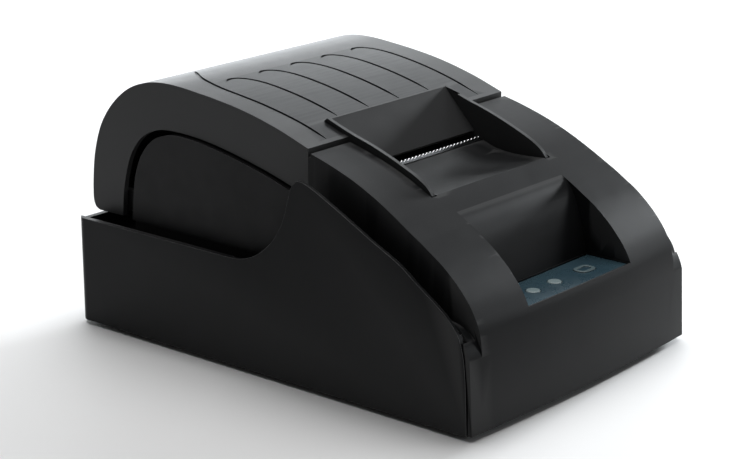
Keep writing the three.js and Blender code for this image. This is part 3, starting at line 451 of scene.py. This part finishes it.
def make_lower_case():
    plan = rounded_box(-CASE_HALF, CASE_HALF, -88.4, CASE_REAR, 4)
    hollow = rounded_box(-WALL_INNER, WALL_INNER, -108.4, CASE_REAR - SKIN, 2.5)
    tray = carve(
        prism("z", plan, 0, RIM),
        prism("z", hollow, 2.5, RIM + 1),
        block(-WALL_INNER, WALL_INNER, 80, 100, RIM - 1, RIM + 1),
        block(-70, 70, -110, -30, 2.5, 100),
    )
    wall = [(60, RIM), *WALL_TOP, (-91.4, 6), (-91.6, 0), (60, 0)]
    walls = mirrored(lambda side: side_prism(side, wall, WALL_INNER, CASE_HALF))
    thin = [(-95, THIN_FROM), (14, THIN_FROM), (14, 80), (-95, 80)]
    shelf = [(-12, 32), (78, 32), (78, 34.2), (-12, 34.2)]
    shelves = mirrored(lambda side: side_prism(side, shelf, 57.8, WALL_INNER + 0.5))
    fuse(tray, *walls, *shelves)
    # Through the rear wall, for the three sockets and the switch.
    openings = [
        block(-49.8, -30.2, 85, 100, 10.2, 23.8),
        block(-23.3, -10.7, 85, 100, 10.7, 23.3),
        block(-1.3, 11.3, 85, 100, 10.7, 23.3),
        block(18.7, 35.3, 85, 100, 10.7, 25.3),
    ]
    thinned = mirrored(lambda side: side_prism(side, thin, WALL_INNER - 1, CASE_HALF - THIN_WALL))
    carve(tray, *openings, *thinned)

    def at_edge(place, edge):
        return convex(edge) and place[2] > 2.6

    def underside(place, edge):
        return convex(edge) and place[2] < 0.2

    # The rounded edges carry the painted highlight.
    return round_edges(tray, (0.45, at_edge), (0.6, underside), own_material=True)


# ---------- Front cover ----------
FILM_HALF = FILM_HIGH[0]
FILM_FRONT, FILM_REAR = FILM_LOW[1] + 1.2, FILM_HIGH[1]
FILM_TOP = PANEL_Z - 0.45
FILM_GAP = 0.4


def film_plan(grow):
    """The panel film's outline, whose front edge follows the bowed face."""
    half = FILM_HALF + grow
    front = [(half * k / 10, FILM_FRONT - grow) for k in range(-10, 11)]
    return [*front, (half, FILM_REAR + grow), (-half, FILM_REAR + grow)]


def make_front_cover():
    bottom = COVER_LOW[2] - BASE_Z
    outline = [*RAIL_TOP, (FACE_FOOT_Y, bottom), (RAIL_START, bottom)]
    face_half = CASE_HALF - 0.4
    cover = prism("x", outline, -face_half, face_half)
    behind = [(-10, -1), (-10, 100), (-89.6, 100), (-89.6, -1)]
    beside = mirrored(lambda side: side_prism(side, behind, COVER_HALF, 70))
    inner_side = WALL_INNER - 0.4
    corner_plan = [(COVER_HALF, -91), (inner_side, -91), (inner_side, -80.4)]
    corner_blocks = [prism("z", corner_plan, 8, 40), prism("z", [(-x, y) for x, y in corner_plan], 8, 40)]
    over_corner = [*CORNER_TOP, (-100, 17), (-100, 60), (-78, 60)]
    wall_end = [(-91.9, -1), (-91.9, 10), (-91.3, 18), (-90.2, 28), (-88, 34.6), (-84, 40),
                (-70, 40), (-70, -1)]
    carve(cover, *beside)
    fuse(cover, *corner_blocks)
    carve(cover, *mirrored(lambda side: side_prism(side, over_corner, COVER_HALF, 70)),
          *mirrored(lambda side: side_prism(side, wall_end, inner_side, 70)))

    valley = [*DRUM, (-120, PANEL_Z), (-120, 110), (-60.5, 110)]
    dish = [(-24.1, 110), *DISH, (RIDGE_Y - 0.4, 110)]
    channel = [(-10, 64.2), (-10, 110), (RIDGE_Y - 0.4, 110), (RIDGE_Y - 0.4, 64.2)]
    channels = mirrored(lambda side: side_prism(side, channel, WINDOW_HALF - 0.7, CHANNEL_HALF))
    carve(cover, prism("x", valley, -VALLEY_HALF, VALLEY_HALF), prism("x", dish, -32, 32), *channels)

    rail_room = [*shifted(RAIL_TOP, SKIN), (-90.2, bottom - 1), (-10, bottom - 1), (-10, 80)]
    rooms = mirrored(lambda side: side_prism(side, rail_room, CHANNEL_HALF + SKIN, COVER_HALF - SKIN))
    middle_top = [*[p for p in DISH if p[0] > -50], *DRUM]
    middle = [*shifted(middle_top, SKIN), (-78.4, 34.3), (-90.2, 34.3), (-90.2, bottom - 1),
              (-20, bottom - 1), (-20, 68)]
    mechanism = [(-24.2, 79), (-24.2, -5), (-5, -5), (-5, 85), (-15.4, 79.6)]
    carve(cover, *rooms,
          prism("x", middle, -29.4, 29.4),
          prism("x", mechanism, -COVER_HALF + SKIN, COVER_HALF - SKIN),
          block(-CHANNEL_HALF, CHANNEL_HALF, -24.2, -5, -5, 100),
          block(-43, 43, -40.5, -20, -5, 62.2),
          block(-COVER_HALF + SKIN, COVER_HALF - SKIN, -89.0, 0, -5, 33),
          block(-60, 60, RAIL_START - 1.0, RAIL_START + 1, RAIL_TOP[0][1] - 1.6, 100),
          prism("z", film_plan(FILM_GAP), FILM_TOP - 0.6, 100))
    return cover


def soften_front_cover(cover):
    """Broad fillets down the rails' outer edges and the face's corners, fine ones at the cut-outs."""
    def outer_edge(place, edge):
        on_side = abs(abs(place[0]) - COVER_HALF) < 0.05 and place[2] > 15
        return convex(edge) and on_side

    def face_corner(place, edge):
        return convex(edge) and abs(place[0]) > CASE_HALF - 0.6 and place[1] < -92.3

    def shoulder(place, edge):
        return convex(edge) and abs(place[0]) > COVER_HALF and place[1] < -80 and place[2] > 5

    def top_cut(place, edge):
        among_cuts = place[1] < -25 and abs(place[0]) < CHANNEL_HALF + 0.1
        return convex(edge) and place[2] > PANEL_Z - 1 and among_cuts

    def rear_edge(place, edge):
        return convex(edge) and place[1] > RAIL_START - 0.1 and place[2] > 80

    def ridge(place, edge):
        at_ridge = abs(place[1] - RIDGE_Y) < 0.8 and place[2] > 67.5
        return convex(edge) and at_ridge and abs(place[0]) < VALLEY_HALF

    def film_lip(place, edge):
        level = abs(place[2] - PANEL_Z) < 0.05
        return convex(edge) and level and abs(place[0]) < FILM_HALF + 0.5 and place[1] > FILM_FRONT - 0.6

    return round_edges(cover, (1.6, face_corner), (0.9, ridge), (0.2, film_lip), (0.9, outer_edge),
                       (0.7, shoulder), (0.55, top_cut), (0.3, rear_edge), steps=4)


BOW = 2.1                         # how far the face stands forward in the middle
BOW_HALF = WALL_INNER
CUT_ACROSS = 6.5                  # spacing of the cuts that let the cover bend
CUT_ALONG = 6.0


def eased(share):
    t = min(1.0, max(0.0, share))
    return t * t * (3 - 2 * t)


def bow_shift(x, y, height):
    """How far the front face stands forward at a place, fading out above the panel."""
    return BOW * max(0.0, 1 - (x / BOW_HALF) ** 2) * eased((52 - height) / 34) * eased((-80 - y) / 9)


def flare_shift(y):
    for (y0, s0), (y1, s1) in zip(COVER_FLARE, COVER_FLARE[1:]):
        if y0 <= y <= y1:
            return s0 + (s1 - s0) * (y - y0) / (y1 - y0)
    return COVER_FLARE[0][1]


def flare_share(x):
    """How much of the flare acts at a distance from the middle: all of it at the cover's side."""
    if x < FLARE_START:
        return 0.0
    if x <= COVER_HALF:
        return eased((x - FLARE_START) / (COVER_HALF - FLARE_START))
    return max(0.0, 1 - (x - COVER_HALF) / (WALL_INNER - 0.4 - COVER_HALF))


def bend_cover(cover):
    """Bows the front face forward in the middle, and widens the cover towards the front."""
    bm = bmesh.new()
    bm.from_mesh(cover.data)
    cuts = [(Vector((k * CUT_ACROSS * MM, 0, 0)), (1, 0, 0)) for k in range(-9, 10)]
    cuts += [(Vector((0, -k * CUT_ALONG * MM, 0)), (0, 1, 0)) for k in range(3, 15)]
    for place, normal in cuts:
        everything = bm.verts[:] + bm.edges[:] + bm.faces[:]
        bmesh.ops.bisect_plane(bm, geom=everything, plane_co=place, plane_no=normal, dist=1e-6)
    for vert in bm.verts:
        x, y, z = vert.co / MM
        shift = flare_shift(y) * flare_share(abs(x))
        vert.co.x = math.copysign(abs(x) + shift, x) * MM
        vert.co.y -= bow_shift(x, y, z - BASE_Z) * MM
    bm.to_mesh(cover.data)
    bm.free()
    return cover


# ---------- Lid ----------
HINGE_Y, HINGE_Z = 86, 47


def top_height(y):
    """The lid's top surface above a place along it."""
    for (y0, z0), (y1, z1) in zip(LID_TOP, LID_TOP[1:]):
        if y1 <= y <= y0 and z1 > 60:
            return z0 + (z1 - z0) * (y0 - y) / (y0 - y1)
    return LID_TOP[-1][1]


GROOVE_PITCH = 17.4
GROOVE_HALF = 0.8
GROOVE_DEPTH = 0.8


def make_groove(route):
    """A cutter that follows a route of [x, y] points over the lid's top."""
    bm = bmesh.new()
    rows = []
    for i, (x, y) in enumerate(route):
        before, after = route[max(i - 1, 0)], route[min(i + 1, len(route) - 1)]
        run = Vector((after[0] - before[0], after[1] - before[1])).normalized()
        across = Vector((run.y, -run.x))
        taper = min(1.0, 0.25 + 0.25 * min(i, len(route) - 1 - i))
        rise = []
        for side, up in ((-1, 1.0), (-0.8, -0.75), (0, -1.0), (0.8, -0.75), (1, 1.0)):
            px = x + side * GROOVE_HALF * taper * across.x
            py = y + side * GROOVE_HALF * taper * across.y
            z = top_height(py) + (1.2 if up > 0 else GROOVE_DEPTH * taper * up)
            rise.append(bm.verts.new((px * MM, py * MM, (z + BASE_Z) * MM)))
        rows.append(rise)
    for first, second in zip(rows, rows[1:]):
        for k in range(5):
            j = (k + 1) % 5
            bm.faces.new((first[k], first[j], second[j], second[k]))
    bm.faces.new(rows[0])
    bm.faces.new(rows[-1])
    return as_object("groove", bm)


def groove_routes():
    """Five grooves that start in a hook at the back, and one at the left that flares outwards."""
    routes = []
    for k in range(5):
        x = 1.5 * GROOVE_PITCH - GROOVE_PITCH * k + GROOVE_PITCH
        front = -12.6 if k == 0 else -3.2
        hook = spline([(x - 11.2, 41.1), (x - 7.6, 42.6), (x - 4.4, 41.6), (x - 1.9, 38.6), (x - 0.5, 34),
                       (x, 28), (x, 22)], 1.0)
        straight = [(x, 22 - (22 - front) * t / 12) for t in range(1, 13)]
        routes.append(hook + straight)
    x = -2.5 * GROOVE_PITCH
    flare = spline([(x + 10.6, 61.2), (x + 6.6, 56), (x + 3, 50.4), (x + 0.6, 43.4), (x - 0.8, 36),
                    (x - 1.2, 26), (x - 0.9, 12), (x - 0.3, 0), (x, -12.6)], 1.4)
    routes.append(flare)
    return routes


def make_lid():
    arch = prism("x", [*LID_TOP, *reversed(LID_BAND)], -LID_HALF, LID_HALF)
    under = shifted(LID_TOP, SKIN)
    inside = [(under[0][0], 30), *under[:-1], (LID_FRONT + SKIN, under[-1][1] - 0.6), (LID_FRONT + SKIN, 30)]
    inner = LID_HALF - SKIN
    carve(arch, prism("x", inside, -inner, inner), block(-inner, inner, -20, -10, 50, 75),
          block(-WINDOW_HALF - 1, WINDOW_HALF + 1, -20, -10, 50, 80.5))
    outer = WINDOW_HALF + CHEEK
    visor_line = [p for p in VISOR_TOP if LID_FRONT < p[0] < -4.9]
    visor_front = [(LID_FRONT, 84.8), (LID_FRONT, 80), (-2, 82)]
    visor = prism("x", [(-2, 86), (-4.8, 88.3), *visor_line, *visor_front], -outer, outer)
    window = [(-5.6, 87.7), (-5.6, 100), (-60, 100), (-60, 50), (-19.6, 50), (-19.6, 72.8)]
    cheek = [(-2, 86), *VISOR_TOP, (-52, 65.2), (-20, 65.6), (-12, 74), (-2, 80)]
    cheeks = mirrored(lambda side: side_prism(side, cheek, WINDOW_HALF, outer))
    scoop = prism("x", [(-4.6, 87.2), (-5.6, 87.95), (-19.4, 73.4), (-18.2, 72.2), (-2.6, 85)], -outer, outer)
    fuse(arch, visor)
    carve(arch, prism("x", window, -WINDOW_HALF, WINDOW_HALF))
    fuse(arch, scoop, *cheeks)
    return carve(arch, rod("x", HINGE_Y, HINGE_Z, 2.3, -54.9, 54.9, 32))


def soften_lid(lid):
    def side_edge(place, edge):
        return convex(edge) and abs(abs(place[0]) - LID_HALF) < 0.05 and place[1] > LID_FRONT + 0.05

    def trim(place, edge):
        return convex(edge) and place[2] > 60 and place[1] < 3

    return round_edges(lid, (1.5, side_edge), (0.3, trim), steps=4)


# ---------- Paper bin ----------
ROLL_Y, ROLL_Z, ROLL_RADIUS, ROLL_HALF = 36, 44, 31, 29.8
BIN_HALF = 55.2
ARM_INNER, ARM_OUTER = 49.6, 52.4


def hinge_arm(side):
    arm = side_prism(side, [(69, 43), (HINGE_Y, 43), (HINGE_Y, 51), (69, 51)], ARM_INNER, ARM_OUTER)
    start, end = (ARM_INNER, ARM_OUTER) if side > 0 else (-ARM_OUTER, -ARM_INNER)
    return fuse(arm, rod("x", HINGE_Y, HINGE_Z, 4, start, end))


def make_paper_bin():
    foot = BIN_LOW[2] - BASE_Z
    body = prism("x", [(72, foot), *PAD_EDGE, (BIN_FRONT, foot)], -BIN_HALF, BIN_HALF)
    room = [(72 - SKIN, foot - 1), *shifted(PAD_EDGE, SKIN), (BIN_FRONT + SKIN, foot - 1)]
    side_rooms = mirrored(lambda side: side_prism(side, room, ROLL_HALF + SKIN, BIN_HALF - SKIN))
    shell = fuse(rod("x", ROLL_Y, ROLL_Z, ROLL_RADIUS + SKIN, -60, 60, 96),
                 block(-60, 60, ROLL_Y - ROLL_RADIUS - SKIN, ROLL_Y + ROLL_RADIUS + SKIN, ROLL_Z, 100))
    below = carve(prism("x", room, -ROLL_HALF, ROLL_HALF), shell, block(-60, 60, -20, 100, ROLL_Z, 100))
    carve(body, *side_rooms, below,
          rod("x", ROLL_Y, ROLL_Z, ROLL_RADIUS, -ROLL_HALF, ROLL_HALF, 96),
          block(-ROLL_HALF, ROLL_HALF, ROLL_Y - ROLL_RADIUS, ROLL_Y + ROLL_RADIUS, ROLL_Z, 100),
          block(-ROLL_HALF, ROLL_HALF, -20, 20, 54, 100))
    pad = [*PAD_EDGE, (BIN_FRONT, PAD_BOTTOM)]
    pads = mirrored(lambda side: side_prism(side, pad, BIN_HALF - 0.5, PAD_HALF))
    nose = [(0, 36), (0, 69.2), (LID_FRONT, 65.3), (LID_FRONT, 36)]
    noses = mirrored(lambda side: side_prism(side, nose, BIN_HALF - SKIN, PAD_HALF))
    arms = mirrored(hinge_arm)
    fuse(body, *pads, *noses, *arms)
    return carve(body, rod("x", HINGE_Y, HINGE_Z, 2.05, -60, 60, 32))


def soften_paper_bin(paper_bin):
    def pad_edge(place, edge):
        return convex(edge) and abs(abs(place[0]) - PAD_HALF) < 0.05

    def mouth(place, edge):
        return convex(edge) and place[2] > 40

    # The rounded edges carry the painted highlight.
    return round_edges(paper_bin, (0.45, pad_edge), (0.4, mouth), own_material=True)


# ---------- Build: casing ----------
finish_piece(make_lower_case(), "case_shell", "base", "lower_case", material=CASE_BLACK, slot="black_abs")
finish_piece(bend_cover(soften_front_cover(make_front_cover())), "cover_shell", "base", "front_cover",
             material=CASE_BLACK, slot="black_abs")
lid_shell = soften_lid(make_lid())
carve(lid_shell, *[make_groove(route) for route in groove_routes()])
finish_piece(lid_shell, "lid_shell", "lid", "lid", material=LID_BLACK, slot="lid_abs")
finish_piece(soften_paper_bin(make_paper_bin()), "bin_shell", "base", "paper_bin", material=INNER_BLACK,
             slot="inner_abs")


# ---------- Build: control panel ----------
LAMP_RADIUS = 2.6
BUTTON_LOW, BUTTON_HIGH = corners("feed_button")
BUTTON_FACE = ((BUTTON_LOW[0] + 1, BUTTON_LOW[1] + 1), (BUTTON_HIGH[0] - 1, BUTTON_HIGH[1] - 1))
BUTTON_RING = 1.5
LAMP_NODES = ("power_led_lens", "paper_led_lens")


def lamp_centre(node):
    low, high = corners(node)
    return (low[0] + high[0]) / 2, (low[1] + high[1]) / 2


def rounded_plan(low, high, grow, radius):
    return rounded_box(low[0] - grow, high[0] + grow, low[1] - grow, high[1] + grow, radius)


def make_film():
    """The blue-grey film in its recess, with a hole for each lamp and for the button."""
    film = prism("z", film_plan(0), FILM_TOP - 0.5, FILM_TOP)
    bm = bmesh.new()
    bm.from_mesh(film.data)
    for vert in bm.verts:
        x, y, z = vert.co / MM
        vert.co.y -= bow_shift(x, y, z - BASE_Z) * MM
    bm.to_mesh(film.data)
    bm.free()
    for node in LAMP_NODES:
        carve(film, rod("z", *lamp_centre(node), LAMP_RADIUS + 0.2, 30, 40))
    carve(film, prism("z", rounded_plan(*BUTTON_FACE, 0.2, 2.4), 30, 40))
    return film


film = round_edges(make_film(), (0.12, every_convex), steps=2)
finish_piece(film, "panel_film", "base", "control_film", material=FILM, slot="panel_film")
for node in LAMP_NODES:
    lens = rod("z", *lamp_centre(node), LAMP_RADIUS, 33, FILM_TOP + 0.25, 64)
    round_edges(lens, (0.5, every_convex), steps=4)
    finish_piece(lens, node.replace("_led_lens", "_lamp"), "base", node, material=LENS, slot="lens_white")
button = prism("z", rounded_plan(*BUTTON_FACE, 0, 2.2), 34, FILM_TOP + 0.35)
carve(button, prism("z", rounded_plan(*BUTTON_FACE, -BUTTON_RING, 1.1), FILM_TOP - 0.35, 40))
round_edges(button, (0.3, every_convex), steps=4)
finish_piece(button, "button_ring", "feed_button", "feed_button", material=BUTTON_GREY, slot="button_grey")
pad = prism("z", rounded_plan(*BUTTON_FACE, -BUTTON_RING - 0.05, 1.05), FILM_TOP - 0.6, FILM_TOP + 0.05)
round_edges(pad, (0.25, every_convex), steps=3)
finish_piece(pad, "button_pad", "feed_button", material=FILM, slot="panel_film")


# ---------- Build: the working parts, their CAD form with softened edges ----------
SLOT_FINISH = {
    "black_abs": CASE_BLACK, "lid_abs": LID_BLACK, "inner_abs": INNER_BLACK, "roller_rubber": RUBBER,
    "foot_rubber": RUBBER, "steel": STEEL, "bright_steel": BRIGHT_STEEL, "nylon": NYLON, "brass": BRASS,
    "aluminium": ALUMINIUM, "ceramic": CERAMIC, "sensor_black": PART_BLACK, "socket_black": PART_BLACK,
    "rocker_black": PART_BLACK, "panel_film": FILM, "lens_white": LENS, "button_grey": BUTTON_GREY,
    "board_green": BOARD, "ribbon_white": RIBBON, "ribbon_amber": AMBER,
}
BEVEL = {
    "steel": 0.15, "bright_steel": 0.08, "nylon": 0.12, "brass": 0.08, "aluminium": 0.25,
    "ceramic": 0.1, "board_green": 0.1, "foot_rubber": 0.5, "roller_rubber": 0.5,
    "inner_abs": 0.25, "socket_black": 0.3, "rocker_black": 0.45, "sensor_black": 0.15,
    "black_abs": 0.3,
}
NEVER_BEVELLED = ("spring", "ribbon")
record = frame["record"]
slot_of = {part["node"]: part["material_slot"] for part in record["subparts"]}
body_of = {node: body for body, nodes in record["behaviour"]["bodies"].items() for node in nodes}


def refine(node):
    """A copy of a CAD node with its facets shaded smooth and its sharp edges slightly rounded."""
    piece = bpy.data.objects.new(node, frame["nodes"][node].data.copy())
    bpy.context.scene.collection.objects.link(piece)
    width = 0 if any(word in node for word in NEVER_BEVELLED) else BEVEL.get(slot_of[node], 0.1)
    rules = [(width, every_convex)] if width else []
    round_edges(piece, *rules, angle=40, steps=2)
    material = SLOT_FINISH[slot_of[node]]
    finish_piece(piece, node + "_fine", body_of[node], node, material=material, slot=slot_of[node])


for node, cad in frame["nodes"].items():
    if not cad.hide_render:
        refine(node)


# ---------- Stage ----------
def flat_material(name, colour, rough):
    material, _, _, shader = new_material(name)
    shader.inputs["Base Color"].default_value = (*colour, 1)
    shader.inputs["Roughness"].default_value = rough
    return material


def area_light(name, place, aim, size, watts, colour=(1, 1, 1)):
    lamp = bpy.data.lights.new(name, "AREA")
    lamp.shape = "RECTANGLE"
    lamp.size, lamp.size_y = size
    lamp.energy = watts
    lamp.color = colour
    holder = bpy.data.objects.new(name, lamp)
    bpy.context.scene.collection.objects.link(holder)
    holder.location = place
    holder.rotation_euler = (Vector(aim) - Vector(place)).to_track_quat("-Z", "Y").to_euler()
    return holder


bm = bmesh.new()
bmesh.ops.create_grid(bm, x_segments=1, y_segments=1, size=3)
floor = as_object("floor", bm)
floor.data.materials.append(flat_material("floor_white", (0.82, 0.82, 0.82), 0.6))

world = bpy.data.worlds.new("studio")
world.use_nodes = True
world.node_tree.nodes["Background"].inputs["Color"].default_value = (1, 1, 1, 1)
world.node_tree.nodes["Background"].inputs["Strength"].default_value = 0.09
bpy.context.scene.world = world
bpy.context.scene.view_settings.view_transform = "Standard"

SOFT_BLUE = (0.93, 0.97, 1.0)
area_light("key", place=(2.17, 0.0, 0.36), aim=(0, 0, 0.06), size=(0.3, 0.22), watts=100,
           colour=SOFT_BLUE)
area_light("backdrop", place=(1.9, 1.55, 0.5), aim=(0, 0, 0.1), size=(3.6, 1.0), watts=36,
           colour=SOFT_BLUE)
area_light("sheen", place=(1.6, 0.75, 1.3), aim=(0, 0, 0.08), size=(0.9, 0.5), watts=4,
           colour=SOFT_BLUE)
area_light("front_right", place=(1.46, -1.3, 0.5), aim=(0, 0, 0.06), size=(0.6, 0.4), watts=4,
           colour=SOFT_BLUE)
area_light("overhead", place=(0.3, 0.3, 1.9), aim=(0, 0, 0), size=(1.6, 1.6), watts=34)

# Solved from the directions of the case's straight edges.
CAMERA_PLACE = Vector((-575.3, -478.9, 267.4 + BASE_Z))
CAMERA_TILT, CAMERA_TURN = 72.99, -50.21
camera_data = bpy.data.cameras.new("camera")
camera_data.lens = 100.06
camera_data.sensor_width = 36
camera = bpy.data.objects.new("camera", camera_data)
bpy.context.scene.collection.objects.link(camera)
camera.location = CAMERA_PLACE * MM
camera.rotation_euler = (math.radians(CAMERA_TILT), 0, math.radians(CAMERA_TURN))
bpy.context.scene.camera = camera
